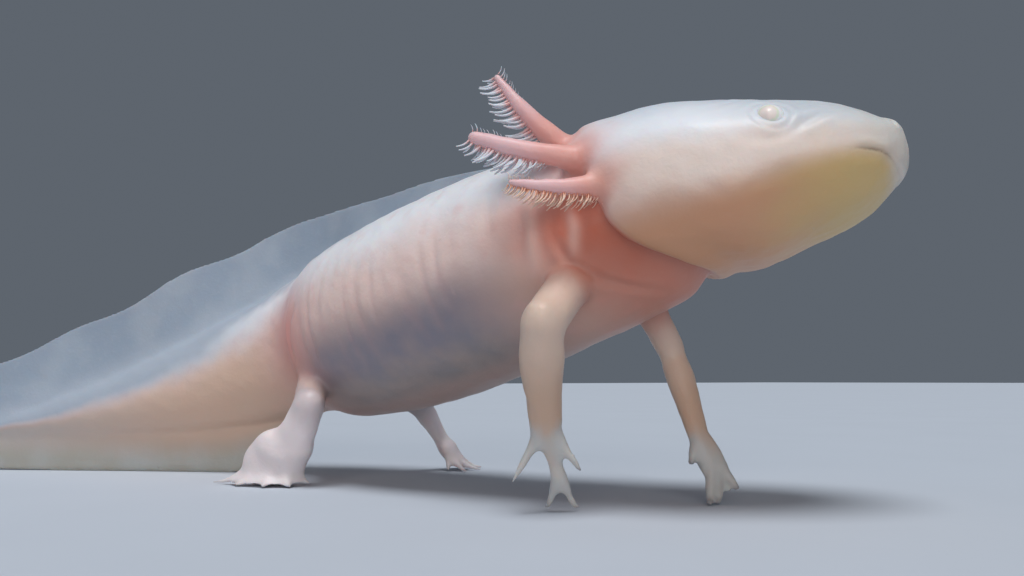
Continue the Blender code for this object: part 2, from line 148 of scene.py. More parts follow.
# Each leg: its joints from the body out, the radii of its upper and lower part, its
# palm and the palm's half width, and its digits. A digit has the share of the palm
# where it branches off, and its tip.
LEGS = {
    "foreleg_right": (
        ((2.4, -5, 31.5), (5.2, -17.4, 23.6), (1.1, -11.9, 11.2)),
        ((3.2, 2.9, 2.8), (2.9, 2.4, 2.2)), (1.5, -9.4, 4), 1.3,
        ((0.15, -1.9, -15.1, 3.8), (0.9, -2.1, -8.4, 0.3), (0.9, 1.6, -5.2, 0.3),
         (0.2, 4.3, -9.1, 5.4))),
    "foreleg_left": (
        ((2.4, 5, 31.5), (3.3, 14.2, 21.4), (8.6, 12.6, 9.2)),
        ((3.2, 2.3, 2.1), (2.1, 1.8, 1.5)), (11, 13, 4.6), 2,
        ((0.3, 8.7, 10.3, 5.4), (0.9, 11.8, 9.8, 0.3), (0.9, 12.3, 11.2, 0.3),
         (0.8, 13.6, 14.4, 2))),
    "hind_leg_right": (
        ((-56, -5, 19), (-45, -14.8, 12.8), (-50.2, -14, 6.8)),
        ((3.4, 2.7, 2.6), (2.7, 3, 3.7)), (-54, -15.6, 3.2), 4.9,
        ((0.7, -47.9, -11.4, 0.3), (0.9, -47.4, -16.1, 0.3), (0.9, -50.9, -19.2, 0.3),
         (0.9, -56.6, -20.8, 0.3), (0.7, -63.5, -20.4, 0.3))),
    "hind_leg_left": (
        ((-56, 5, 19), (-52.4, 15.6, 12.4), (-53.2, 22.2, 5.4)),
        ((3.4, 2.8, 2.3), (2.2, 1.9, 1.8)), (-51.4, 23.6, 2.6), 3,
        ((0.7, -48.6, 19.4, 0.3), (0.9, -45.2, 21, 0.3), (0.9, -45.4, 25.4, 0.3),
         (0.9, -49, 29.2, 0.3), (0.7, -54.4, 30.4, 0.3))),
}
DIGIT_RADIUS = 0.8
WEB_THICKNESS = 0.48
# Share of a leg's length where each part ends, from the body to the fingertips.
KNEE, ANKLE, PALM = 0.35, 0.65, 0.78
GROIN = (101.5, 10.5, -1.0)  # station, side and height
GILL_BLUSH, GROIN_BLUSH = 4.2, 8.4  # how far the pink spreads

# How far the web between two digits next to each other reaches along them.
WEBS = {
    "foreleg_right": (0.12, 0.3, 0.3),
    "foreleg_left": (0.3, 0.85, 0.95),
    "hind_leg_right": (0.92, 0.94, 0.94, 0.95),
    "hind_leg_left": (0.66, 0.66, 0.7, 0.7),
}

# Each pair of gills: the station, side and height of its root, how far the right and
# the left tip reach back, out and up, and the stalk's radius at its root.
GILLS = {
    "lower": ((36.2, 14, 1.5), (10.4, 5.4, 3.6), (10.2, 6.4, 1.8), 1.7),
    "middle": ((38.2, 13, 6.2), (11.7, 4.8, 7.1), (11.7, 6.2, 4.4), 1.8),
    "upper": ((40.6, 10.6, 9.8), (4.6, 3.6, 11.6), (8.4, 6.8, 7.2), 1.9),
}
# Share of a stalk's length from inside the neck, and its radius against the root's.
STALK_TAPERS = {
    "lower": ((0, 1.1), (0.22, 1), (0.5, 0.78), (0.8, 0.46), (1, 0.24)),
    "middle": ((0, 1.1), (0.22, 1), (0.5, 0.8), (0.8, 0.62), (1, 0.42)),
    "upper": ((0, 1.1), (0.22, 1), (0.5, 0.72), (0.8, 0.42), (1, 0.24)),
}
# Share of a stalk's length, and how long its filaments and the short hairs on its back are.
FILAMENTS = ((0, 0), (0.2, 0.4), (0.4, 0.85), (0.6, 1), (0.85, 0.9), (1, 0.6))
TUFT = ((0, 0.04), (0.6, 0.04), (0.75, 0.2), (0.9, 0.32), (1, 0.4))
FILAMENT_SETS = (
    ("long_filaments", ("middle", "upper"), {"Count": 24, "Length": 3.2, "Thickness": 0.24}),
    ("short_filaments", ("lower",), {"Count": 40, "Length": 2.3, "Thickness": 0.18}),
)


def blend(table, at, column=1):
    """A smooth curve through one column of a table, by its first column."""
    rows = np.array(table, float)
    keys, values = rows[:, 0], rows[:, column]
    last = len(keys) - 1
    low = np.maximum(np.arange(last + 1) - 1, 0)
    high = np.minimum(np.arange(last + 1) + 1, last)
    slope = (values[high] - values[low]) / (keys[high] - keys[low])
    at = np.clip(at, keys[0], keys[-1])
    i = np.clip(np.searchsorted(keys, at, side="right") - 1, 0, last - 1)
    span = keys[i + 1] - keys[i]
    t = (at - keys[i]) / span
    return (
        values[i] * (1 + 2 * t) * (1 - t) ** 2
        + values[i + 1] * t * t * (3 - 2 * t)
        + slope[i] * span * t * (1 - t) ** 2
        - slope[i + 1] * span * t * t * (1 - t)
    )


def ramp(value, low, high):
    """0 below low, 1 above high and smooth between."""
    t = np.clip((value - low) / (high - low), 0, 1)
    return t * t * (3 - 2 * t)


def bump(value, centre, width):
    """1 at the centre, falling off smoothly to either side."""
    return np.exp(-(((value - centre) / width) ** 2))


def unit(vectors):
    return vectors / np.maximum(np.linalg.norm(vectors, axis=-1, keepdims=True), 1e-9)


class Path:
    """A smooth line through points, read by the distance along it."""

    def __init__(self, points, steps=32):
        p = np.array(points, float)
        p = np.vstack([2 * p[0] - p[1], p, 2 * p[-1] - p[-2]])
        t = (np.arange(steps) / steps)[:, None]
        line = []
        for a, b, c, d in zip(p, p[1:], p[2:], p[3:]):
            line.append(
                (2 * b + (c - a) * t + (2 * a - 5 * b + 4 * c - d) * t**2
                 + (3 * b - a - 3 * c + d) * t**3) / 2
            )
        self.line = np.vstack([*line, p[-2:-1]])
        step = np.linalg.norm(np.diff(self.line, axis=0), axis=1)
        self.measure = np.concatenate([[0.0], np.cumsum(step)])
        self.length = self.measure[-1]

    def point(self, at):
        at = np.asarray(at, float)
        i = np.clip(np.searchsorted(self.measure, at, side="right") - 1, 0, len(self.line) - 2)
        t = (at - self.measure[i]) / (self.measure[i + 1] - self.measure[i])
        return self.line[i] + (self.line[i + 1] - self.line[i]) * t[..., None]

    def forward(self, at, reach=1.5):
        return unit(self.point(at + reach) - self.point(at - reach))


spine = Path(SPINE)
SPINE_SCALE = spine.length / TAIL_TIP


def spine_frame(at):
    """The spine's points at these stations, with the left and up directions there."""
    at = np.asarray(at, float)
    tail = spine.forward(at * SPINE_SCALE)
    left = unit(np.cross(tail, (0.0, 0.0, 1.0)))
    return spine.point(at * SPINE_SCALE), left, np.cross(left, tail)


def placed(at, side, height):
    """Points by station, distance to the left and height over the spine."""
    centre, left, up = spine_frame(at)
    return centre + left * np.asarray(side)[..., None] + up * np.asarray(height)[..., None]


def power(value, exponent):
    return np.sign(value) * np.abs(value) ** exponent


def outline(table, at, angle):
    """Distance to the left and height of the skin at these stations and angles."""
    square = HEAD_SQUARENESS if table is HEAD else TRUNK_SQUARENESS
    side = power(np.cos(angle), 2 / square) * blend(table, at, 1)
    height = power(np.sin(angle), 2 / square)
    return side, height * np.where(height > 0, blend(table, at, 2), blend(table, at, 3))


def lean(at, height):
    """How far a ring's point is shifted along the spine, by the sine of its angle."""
    return blend(LEAN, at) * np.where(height < 0, -np.abs(height) ** 2.2, 0.2 * height)


def body_rings(table, stations, sides):
    at = np.asarray(stations, float)[:, None]
    angle = np.linspace(0, 2 * np.pi, sides, endpoint=False)[None, :]
    side, height = outline(table, at, angle)
    return placed(at + lean(at, np.sin(angle)), side, height)


# ------- shapes to press together

class Clay:
    """Closed shapes in millimetres, gathered to be made into one skin."""

    def __init__(self):
        self.points, self.faces, self.count = [], [], 0

    def add(self, rings):
        """A closed shape through rings of equal count, with a fan at each end."""
        rings = np.asarray(rings, float)
        rows, sides = rings.shape[:2]
        index = self.count + np.arange(rows * sides).reshape(rows, sides)
        turned = np.roll(index, -1, axis=1)
        quads = np.stack([index[:-1], turned[:-1], turned[1:], index[1:]], -1).reshape(-1, 4)
        self.faces += quads.tolist()
        ends = self.count + rows * sides
        self.points += [rings.reshape(-1, 3), rings[[0, -1]].mean(1)]
        for row, turn, end in ((index[0], turned[0], ends), (turned[-1], index[-1], ends + 1)):
            self.faces += np.stack([turn, row, np.full(sides, end)], -1).tolist()
        self.count = ends + 2

    def mesh(self, name):
        made = bpy.data.meshes.new(name)
        points = np.vstack(self.points)
        points[:, 2] = np.maximum(points[:, 2], 0.0)
        made.from_pydata(points.tolist(), [], self.faces)
        return made


def tube(points, radii, sides=28, flat=(1.0, 1.0), across=(1, 0, 0), rings=36):
    """Rings round a smooth path with rounded ends. flat squeezes its start and end."""
    path = Path(points)
    stops = [(path.length * k / (len(radii) - 1), r) for k, r in enumerate(radii)]
    at = np.linspace(0, path.length, rings)
    radius = blend(stops, at)
    # A quarter of a round at each end closes it.
    turn = np.linspace(0, np.pi / 2, 6)[1:-1]
    first, last = radius[[0, -1]]
    at = np.concatenate([-first * np.sin(turn[::-1]), at, path.length + last * np.sin(turn)])
    radius = np.concatenate([first * np.cos(turn[::-1]), radius, last * np.cos(turn)])
    share = np.clip(at / path.length, 0, 1)
    squeezed = radius * (flat[0] + (flat[1] - flat[0]) * share)
    forward = path.forward(np.clip(at, 0, path.length), path.length * 0.04)
    side = np.array(across, float)
    side = unit(side - forward * (forward @ side)[:, None])
    other = np.cross(forward, side)
    angle = np.linspace(0, 2 * np.pi, sides, endpoint=False)
    return (
        path.point(at)[:, None]
        + side[:, None] * (radius[:, None] * np.cos(angle))[..., None]
        + other[:, None] * (squeezed[:, None] * np.sin(angle))[..., None]
    )


def leg_lines(name):
    """A leg's joints as vectors: hip, knee, ankle, palm, and its digits as base, knuckle, tip."""
    joints, (_, lower), palm, half_width, digits = LEGS[name]
    hip, knee, ankle, palm = (np.array(p, float) for p in (*joints, palm))
    across = unit(np.array(digits[-1][1:]) - np.array(digits[0][1:]))
    lines = []
    for k, (share, *tip) in enumerate(digits):
        tip = np.array(tip)
        spread = (k / (len(digits) - 1) - 0.5) * 2
        width = lower[-1] + (half_width - lower[-1]) * share
        base = ankle + (palm - ankle) * share + across * spread * width * 0.6
        knuckle = base + (tip - base) * 0.6
        if tip[2] < DIGIT_RADIUS:
            knuckle[2] = tip[2] + 0.15 * (base[2] - tip[2])
        lines.append((base, knuckle, tip))
    return hip, knee, ankle, palm, across, lines


def add_leg(clay, name):
    """Thigh, shank, palm and digits, with thin webs between the digits."""
    _, (upper, lower), _, half_width, _ = LEGS[name]
    hip, knee, ankle, palm, across, lines = leg_lines(name)
    thigh, calf = unit(knee - hip), unit(ankle - knee)
    clay.add(tube([hip, (hip + knee) / 2 + (0, 0, 0.6), knee], upper))
    middle = knee + (ankle - knee) * 0.45 + thigh * 0.4
    clay.add(tube(
        [knee - calf * lower[0] * 0.4, middle, ankle], (lower[0] * 0.8, *lower),
        flat=(1.0, 0.75), across=across,
    ))
    radii = (lower[-1], half_width, half_width)
    clay.add(tube([ankle, (ankle + palm) / 2, palm], radii, flat=(0.75, 0.42), across=across))
    for base, knuckle, tip in lines:
        sideways = unit(np.cross((0, 0, 1.0), tip - base))
        radii = (DIGIT_RADIUS * 1.3, DIGIT_RADIUS, DIGIT_RADIUS * 0.84, DIGIT_RADIUS * 0.55)
        end = tip - unit(tip - knuckle) * 0.3
        clay.add(tube([base, knuckle, end], radii, 16, across=sideways, rings=24))
    for reach, one, other in zip(WEBS[name], lines, lines[1:]):
        add_web(clay, Path(one), Path(other), reach)


def add_web(clay, one, other, reach):
    """A thin skin between two digits. The shorter it is, the more its free edge is drawn in."""
    lift = np.array((0, 0, WEB_THICKNESS / 2))
    sag = 0.5 * (1.1 - reach)
    rings = []
    for across in np.linspace(0, 1, 12):
        drawn_in = reach * (1 - sag * math.sin(math.pi * across))
        near = one.point(0.0) * (1 - across) + other.point(0.0) * across
        far = (one.point(one.length * drawn_in) * (1 - across)
               + other.point(other.length * drawn_in) * across)
        near, far = near * (1, 1, 0.8), np.array((far[0], far[1], max(far[2], lift[2])))
        rings.append([near + lift, (near + far) / 2 + lift, far + lift * 0.6,
                      far - lift * 0.6, (near + far) / 2 - lift, near - lift])
    clay.add(rings)


def fin_rings(stations, low, high, side_wave):
    """Thin upright sections between two heights over the spine."""
    share = np.array((0.0, 0.25, 0.5, 0.75, 0.93, 1.0))
    thick = np.array((FIN_ROOT, 0.8, 0.6, 0.46, FIN_EDGE, FIN_EDGE * 0.6))
    height = low[:, None] + (high - low)[:, None] * share
    height = np.concatenate([height, height[:, ::-1]], 1)
    side = np.concatenate([thick, -thick[::-1]])[None, :] + side_wave[:, None] * np.concatenate(
        [share, share[::-1]]
    )[None, :]
    return placed(np.broadcast_to(stations[:, None], height.shape), side, height)


def add_fins(clay):
    """The back's long fin, with a slightly wavy edge, and the lower fin of the tail."""
    at = np.linspace(FIN_FROM, TAIL_TIP, 260)
    flesh = blend(TRUNK, at, 2)
    wave = (0.45 * np.cos((at - 134) / 4.0) - 0.3) * ramp(at, 100, 126) + 0.4 * bump(at, 73, 12)
    top = flesh + np.maximum(blend(BACK_FIN, at) + wave - 0.15, 0.1)
    sway = 0.7 * np.sin(at / 6.1) * ramp(at, 70, 110) * ramp(TAIL_TIP - at, 0, 20)
    clay.add(fin_rings(at, flesh - np.minimum(2.0, flesh * 0.8), top, sway))
    at = np.linspace(BELLY_FIN_FROM, TAIL_TIP, 200)
    centre, _, up = spine_frame(at)
    flesh = blend(TRUNK, at, 3)
    edge = np.maximum(flesh + 0.2, (centre[:, 2] - blend(BELLY_FIN_EDGE, at)) / up[:, 2])
    clay.add(fin_rings(at, -flesh + np.minimum(2.0, flesh * 0.8), -edge, 0 * at))


def gill_path(label, side):
    """A gill stalk's centre line, from inside the neck to its tip."""
    place, right, left_reach, _ = GILLS[label]
    reach = left_reach if side > 0 else right
    centre, left, up = spine_frame(place[0])
    start = centre + left * place[1] * side + up * place[2]
    ahead = np.cross(left, up)
    if ahead[0] < 0:
        ahead = -ahead
    tip = start - ahead * reach[0] + left * reach[1] * side + up * reach[2]
    inside = start + unit(start - tip) * 3.0 - left * side * 1.5
    bend = start + (tip - start) * 0.55 + left * side * 0.9 - up * 0.5
    return Path([inside, start, bend, tip])


def stalk_radius(label, share):
    return GILLS[label][3] * blend(STALK_TAPERS[label], share)


def add_gill_base(clay, side):
    """The fleshy arch that the stalks of one side grow out of."""
    roots = [gill_path(label, side).point(2.2) for label in GILLS]
    clay.add(tube(roots, (1.9, 2.5, 2.1)))


def gather_clay():
    clay = Clay()
    clay.add(body_rings(HEAD, np.concatenate([[0, 0.15, 0.35], np.arange(0.6, 37.4, 0.35)]), 128))
    clay.add(body_rings(TRUNK, np.arange(30.0, TAIL_TIP + 0.1, 0.6), 96))
    add_fins(clay)
    for name in LEGS:
        add_leg(clay, name)
    for side in SIDES:
        add_gill_base(clay, side)
        for label in GILLS:
            path = gill_path(label, side)
            share = np.linspace(0, 0.97, 9)
            stalk = path.point(share * path.length)
            clay.add(tube(stalk, stalk_radius(label, share), across=(0, 1, 0)))
    return clay


# ------- one skin

def read(items, key, width, kind=np.float32):
    """A value of every item, in rows."""
    values = np.empty(len(items) * width, kind)
    items.foreach_get(key, values)
    return values.reshape(-1, width)


def mesh_arrays(mesh):
    return read(mesh.vertices, "co", 3).astype(float), read(mesh.edges, "vertices", 2, np.int32)


def put_points(mesh, points):
    mesh.vertices.foreach_set("co", points.astype(np.float32).ravel())
    mesh.update()


def write_layer(mesh, name, values):
    """Stores a number or a direction for each point."""
    values = np.array(values, np.float32)
    kind, key = ("FLOAT", "value") if values.ndim == 1 else ("FLOAT_VECTOR", "vector")
    mesh.attributes.new(name, kind, "POINT").data.foreach_set(key, values.ravel())


def link(name, data):
    """A new object in the scene."""
    obj = bpy.data.objects.new(name, data)
    bpy.context.scene.collection.objects.link(obj)
    return obj


def relax(points, edges, weight, rounds, keep_size=False):
    """Draws each point to its neighbours' middle, by its weight. keep_size undoes the shrinking."""
    count = len(points)
    a, b = edges[:, 0], edges[:, 1]
    near = np.maximum(np.bincount(a, minlength=count) + np.bincount(b, minlength=count), 1)
    for turn in range(rounds):
        pull = np.stack([
            np.bincount(a, points[b, k], count) + np.bincount(b, points[a, k], count)
            for k in range(3)
        ], 1) / near[:, None] - points
        step = -0.53 if keep_size and turn % 2 else 0.5
        points = points + pull * step * weight[:, None]
    return points


def soften(values, edges, rounds):
    """Spreads one number a point to its neighbours."""
    column = np.repeat(values[:, None], 3, 1)
    return relax(column, edges, np.ones(len(values)), rounds)[:, 0]


def evaluated(obj, name):
    """The object's mesh with its modifiers applied."""
    graph = bpy.context.evaluated_depsgraph_get()
    made = bpy.data.meshes.new_from_object(obj.evaluated_get(graph))
    made.name = name
    bpy.data.objects.remove(obj)
    return made


def with_modifier(mesh, kind, **settings):
    """A mesh after one modifier."""
    obj = link(mesh.name, mesh)
    modifier = obj.modifiers.new(kind.title(), kind)
    for key, value in settings.items():
        setattr(modifier, key, value)
    return evaluated(obj, mesh.name)


def tree_of(points):
    """A tree that finds the nearest of these points."""
    tree = KDTree(len(points))
    for k, point in enumerate(points):
        tree.insert(point, k)
    tree.balance()
    return tree


class Places:
    """Where each point of the skin lies: its station, side, height and nearest limb or gill."""

    def __init__(self, points):
        self.points = points
        stations = np.arange(-1.0, TAIL_TIP + 1.0, 0.5)
        tree = tree_of(spine_frame(stations)[0])
        nearest = np.array([tree.find(p)[1] for p in points])
        station = stations[nearest]
        for _ in range(3):
            centre, left, up = spine_frame(station)
            tail = np.cross(up, left)
            station = station + ((points - centre) * tail).sum(1) / SPINE_SCALE * 0.8
            station = np.clip(station, -2.0, TAIL_TIP + 2.0)
        centre, left, up = spine_frame(station)
        offset = points - centre
        self.side = (offset * left).sum(1)
        self.height = (offset * up).sum(1)
        self.at = station
        for _ in range(4):
            in_head = self.at < GULAR_FOLD
            width, rise, drop = (
                np.where(in_head, blend(HEAD, self.at, k), blend(TRUNK, self.at, k))
                for k in (1, 2, 3)
            )
            tall = np.where(self.height > 0, rise, drop)
            across, upward = self.side / width, self.height / tall
            reach = np.maximum(np.hypot(across, upward), 1e-6)
            self.sine = upward / reach
            self.at = station - lean(self.at, self.sine)
        self.rise, self.drop = rise, drop
        square = MEAN_SQUARENESS
        self.out = (np.abs(across) ** square + np.abs(upward) ** square) ** (1 / square)
        self.near_limbs()

    def near_limbs(self):
        """The nearest limb or gill: its kind, the share along it and how many radii away it is."""
        rows = []

        def follow(kind, points, share, radius):
            rows.append(np.stack(np.broadcast_arrays(*points.T, kind, share, radius), 1))

        for name in LEGS:
            _, (upper, lower), _, half_width, _ = LEGS[name]
            hip, knee, ankle, palm, _, lines = leg_lines(name)
            kind = 1 if name.startswith("fore") else 2
            t = np.linspace(0, 1, 24)
            for start, end, radii, first, last in (
                (hip, knee, upper, 0.0, KNEE), (knee, ankle, lower, KNEE, ANKLE),
                (ankle, palm, (lower[-1], half_width, half_width), ANKLE, PALM),
            ):
                radius = blend(list(zip((0, 0.5, 1), radii)), t)
                follow(kind, start + (end - start) * t[:, None], first + (last - first) * t, radius)
            t = np.linspace(0, 1, 14)
            for path in map(Path, lines):
                follow(kind, path.point(t * path.length), PALM + (1 - PALM) * t, DIGIT_RADIUS)
        t = np.linspace(0, 1, 30)
        for label in GILLS:
            for side in SIDES:
                path = gill_path(label, side)
                follow(3, path.point(t * path.length), t, stalk_radius(label, t))
        rows = np.vstack(rows)
        tree = tree_of(rows[:, :3])
        found = [tree.find(p) for p in self.points]
        index, away = (np.array([f[k] for f in found]) for k in (1, 2))
        self.kind, self.share = rows[index, 3], rows[index, 4]
        self.reach = away / rows[index, 5]
        # Within this many radii, or this near where the body is wide.
        self.on_limb = (self.reach < 2.2) | ((away < 5.0) & (np.abs(self.side) > 6.0))

    def from_mouth(self):
        """Distance over the mouth's line, against the line's slope where it dips in front."""
        slope = (blend(MOUTH_LINE, self.at + 0.1) - blend(MOUTH_LINE, self.at - 0.1)) / 0.2
        return (self.height - blend(MOUTH_LINE, self.at)) / np.hypot(1, slope)

    def limb(self, *kinds):
        """1 on these kinds of limb, fading to 0 where they grow out of the body."""
        mine = np.isin(self.kind, kinds) & self.on_limb
        return np.where(mine, ramp(self.out, 1.02, 1.3), 0.0)

    def fin(self):
        """0 on the flesh, rising to 1 at a fin's edge."""
        top = (self.height - self.rise) / np.maximum(blend(BACK_FIN, self.at), 0.5)
        centre, _, up = spine_frame(self.at)
        edge = (centre[:, 2] - blend(BELLY_FIN_EDGE, self.at)) / up[:, 2]
        bottom = (-self.height - self.drop) / np.maximum(edge - self.drop, 0.5)
        bottom = np.where(self.at > BELLY_FIN_FROM - 3, bottom, 0.0)
        top = np.where(self.at > FIN_FROM, top, 0.0)
        thin = ramp(2.6 - np.abs(self.side), 0.0, 1.2)
        return np.clip(np.maximum(top, bottom), 0, 1) * thin


# Creases of the skin on the right side, each mirrored to the left: its places as
# station and angle above the side in degrees, its depth and its width. A depth below 0
# is a ridge.
CREASES = (
    (((22.5, 42), (19, 54), (14.5, 52), (10, 44), (5.5, 40)), 0.16, 0.5),  # over the eye
    (((21.5, 12), (18.4, 6), (15.2, 8), (12, 18), (9, 30), (7, 40)), 0.18, 0.6),  # under it
    (((9, -10), (13, -12), (18, -15), (24, -18)), 0.05, 0.9),  # along the cheek
    (((42.5, 10), (43.6, -8), (43.4, -28), (42, -50), (40.8, -68)), 0.22, 0.6),  # behind the gills
    (((41, 6), (41.2, -6), (42.2, -16), (43.4, -24)), -0.22, 0.7),  # two ridges
    (((45.2, 16), (45.6, 2), (46.2, -10), (47, -24)), -0.26, 0.8),
    (((49.4, 30), (50.2, 12), (50, -8)), 0.12, 0.9),  # over the shoulder
    (((97, 14), (99.6, -2), (100.4, -18)), 0.3, 0.9),  # the groin
    (((101.6, 24), (103.4, 6), (104.6, -12)), 0.2, 0.9),
)
GROOVES_FROM, GROOVES_TO, GROOVES, GROOVE_DEPTH = 53.0, 99.0, 13, 0.14
MOUTH_CORNER = 10.0  # behind this the lips meet without a groove
NOSTRIL = (1.7, 26)  # station and angle


def on_skin(at, degrees, side):
    """A point of the body's surface. Angles rise from the side to the back."""
    at = np.asarray(at, float)
    angle = np.radians(np.asarray(degrees, float))
    table = HEAD if at.mean() < GULAR_FOLD else TRUNK
    sideways, height = outline(table, at, angle)
    return placed(at + lean(at, np.sin(angle)), sideways * side, height)


def distance_to(points, line):
    """Each point's distance to a line of samples, and the share along it."""
    low, high = line.min(0) - 4, line.max(0) + 4
    inside = np.where(((points > low) & (points < high)).all(1))[0]
    away, share = np.full(len(points), 99.0), np.zeros(len(points))
    gap = np.linalg.norm(points[inside][:, None] - line[None], axis=2)
    away[inside], share[inside] = gap.min(1), gap.argmin(1) / (len(line) - 1)
    return away, share


def lumps(points, size, seed):
    """Smooth noise at each point, from -1 to 1, about as large as size."""
    scale = 1 / size
    return np.array([noise.noise(Vector(p * scale + seed)) for p in points]) * 1.6


def away_from(points, place):
    return np.linalg.norm(points - place, axis=1)


def mouth_folds(p):
    """An upper lip over a narrow groove, and a chin set back a little."""
    over = p.from_mouth()
    closed = ramp(MOUTH_CORNER - p.at, 0.0, 6.0) * (0.35 + 0.65 * ramp(p.at, 2.6, 4.2))
    return closed * (
        0.12 * bump(over, 0.8, 0.6) - 0.2 * bump(over, 0.0, 0.17) - 0.08 * bump(over, -0.8, 0.7)
    )


def rib_grooves(p):
    """1 in the flank's grooves, one over each rib, not quite even."""
    wander = 0.4 * np.sin(p.at * 0.61 + 1.7 * p.sine) + 0.5 * np.sin(p.at * 0.23 + 1.0)
    wander = wander + 1.2 * p.sine**2
    phase = (p.at + wander - GROOVES_FROM) / (GROOVES_TO - GROOVES_FROM) * GROOVES
    inside = ramp(p.at, 52, 60) * ramp(101 - p.at, 0, 6)
    flank = ramp(0.62 - np.abs(p.sine + 0.16), 0.0, 0.5)
    worn = 0.65 + 0.35 * np.sin(p.at * 0.43 + 3.1 * p.sine)
    return (0.5 + 0.5 * np.cos(2 * np.pi * phase)) ** 2 * worn * inside * flank


def press_creases(points, push):
    """Presses the creases into push, and returns 1 on the ridges among them, where a highlight is
    painted.
    """
    ridge = np.zeros(len(points))
    for rows, depth, width in CREASES:
        rows = Path([(at, degrees, 0.0) for at, degrees in rows])
        rows = rows.point(np.linspace(0, rows.length, 60))
        for side in SIDES:
            away, share = distance_to(points, on_skin(rows[:, 0], rows[:, 1], side))
            fade = np.sin(np.pi * np.clip(share, 0.02, 0.98)) ** 0.6
            push -= depth * fade * (bump(away, 0, width) - 0.45 * bump(away, 2.1 * width, width))
            if depth < 0:
                ridge = np.maximum(ridge, fade * bump(away, 0, width * 1.2))
    return ridge


def folds(points, p):
    """How far each point is pushed out along its normal. p keeps the grooves and the ridges."""
    flesh = 1 - p.limb(1, 2, 3)
    p.groove = rib_grooves(p) * flesh
    push = mouth_folds(p) - GROOVE_DEPTH * p.groove
    p.ridge = press_creases(points, push)
    for side in SIDES:
        # The nostril, and the low swelling that carries the eye.
        away = away_from(points, on_skin(*NOSTRIL, side))
        push -= 0.45 * bump(away, 0, 0.36)
        push += 0.12 * bump(away, 0.9, 0.4)
        away = away_from(points, placed(EYE_AT, EYE_SIDE * side, EYE_HEIGHT))
        push += 0.07 * bump(away, 2.25, 0.26) - 0.1 * bump(away, 2.75, 0.25)
        push += 0.1 * bump(away, 3.2, 0.5)
    # Muscle over each hinge of the jaw, and the hollow between on the back of the skull.
    hinge = bump(p.at, 27, 4.5) * bump(np.abs(p.side), 8.5, 3.6)
    push += flesh * 0.35 * hinge * ramp(p.sine, 0.2, 0.7)
    push -= flesh * 0.35 * bump(p.at, 28, 6) * bump(p.side, 0, 2.4) * ramp(p.sine, 0.4, 0.9)
    # The back's shallow furrow in front of the fin.
    push -= 0.3 * bump(p.side, 0, 1.4) * ramp(p.at, 39, 44) * ramp(56 - p.at, 0, 8) * (p.sine > 0)
    thick = ramp(0.25 - p.fin(), 0.0, 0.25)
    push += 0.13 * lumps(points, 6.5, 3.1) * thick * flesh
    push += 0.05 * lumps(points, 1.9, 8.7) * thick
    return push


def make_skin():
    """Presses the clay into one skin, relaxes its joins and gives it its folds."""
    mesh = with_modifier(
        gather_clay().mesh("skin"), "REMESH", mode="VOXEL", voxel_size=VOXEL, adaptivity=0.0
    )
    points, edges = mesh_arrays(mesh)
    whole = np.ones(len(points))
    points = relax(points, edges, whole, FIRST_ROUNDS, keep_size=True)
    places = Places(points)
    # These are relaxed more than the rest.
    join = bump(places.out, 1.14, 0.26) * ramp(2.3 - places.reach, 0.0, 0.5)
    elbow = bump(places.share, KNEE, 0.09) * places.limb(1, 2) * 0.8
    top_of_neck = bump(places.at, 37.8, 3.2) * ramp(places.sine, -0.2, 0.3)
    snout = ramp(1.5 - places.at, 0.0, 1.2) * 0.8
    fin_root = bump(places.fin(), 0.06, 0.16) * (places.at > FIN_FROM)
    weight = np.clip(np.max([join, elbow, top_of_neck, snout, fin_root], axis=0), 0, 1)
    points = relax(points, edges, weight, int(JOIN_ROUNDS * (FINE_VOXEL / VOXEL) ** 2) + 6)
    put_points(mesh, points)
    normals = read(mesh.vertex_normals, "vector", 3).astype(float)
    points = points + normals * folds(points, places)[:, None]
    points = relax(points, edges, whole, LAST_ROUNDS, keep_size=True)
    points[:, 2] = np.maximum(points[:, 2], 0.0)
    put_points(mesh, points)
    triangles = sum(len(f.vertices) - 2 for f in mesh.polygons)
    if triangles > MOST_TRIANGLES:
        mesh = with_modifier(
            mesh, "DECIMATE", ratio=MOST_TRIANGLES / triangles, use_collapse_triangulate=True
        )
    return mesh


def near_any(points, centres, width):
    """1 at each of these centres, falling off smoothly."""
    return np.max([bump(away_from(points, c), 0, width) for c in centres], axis=0)


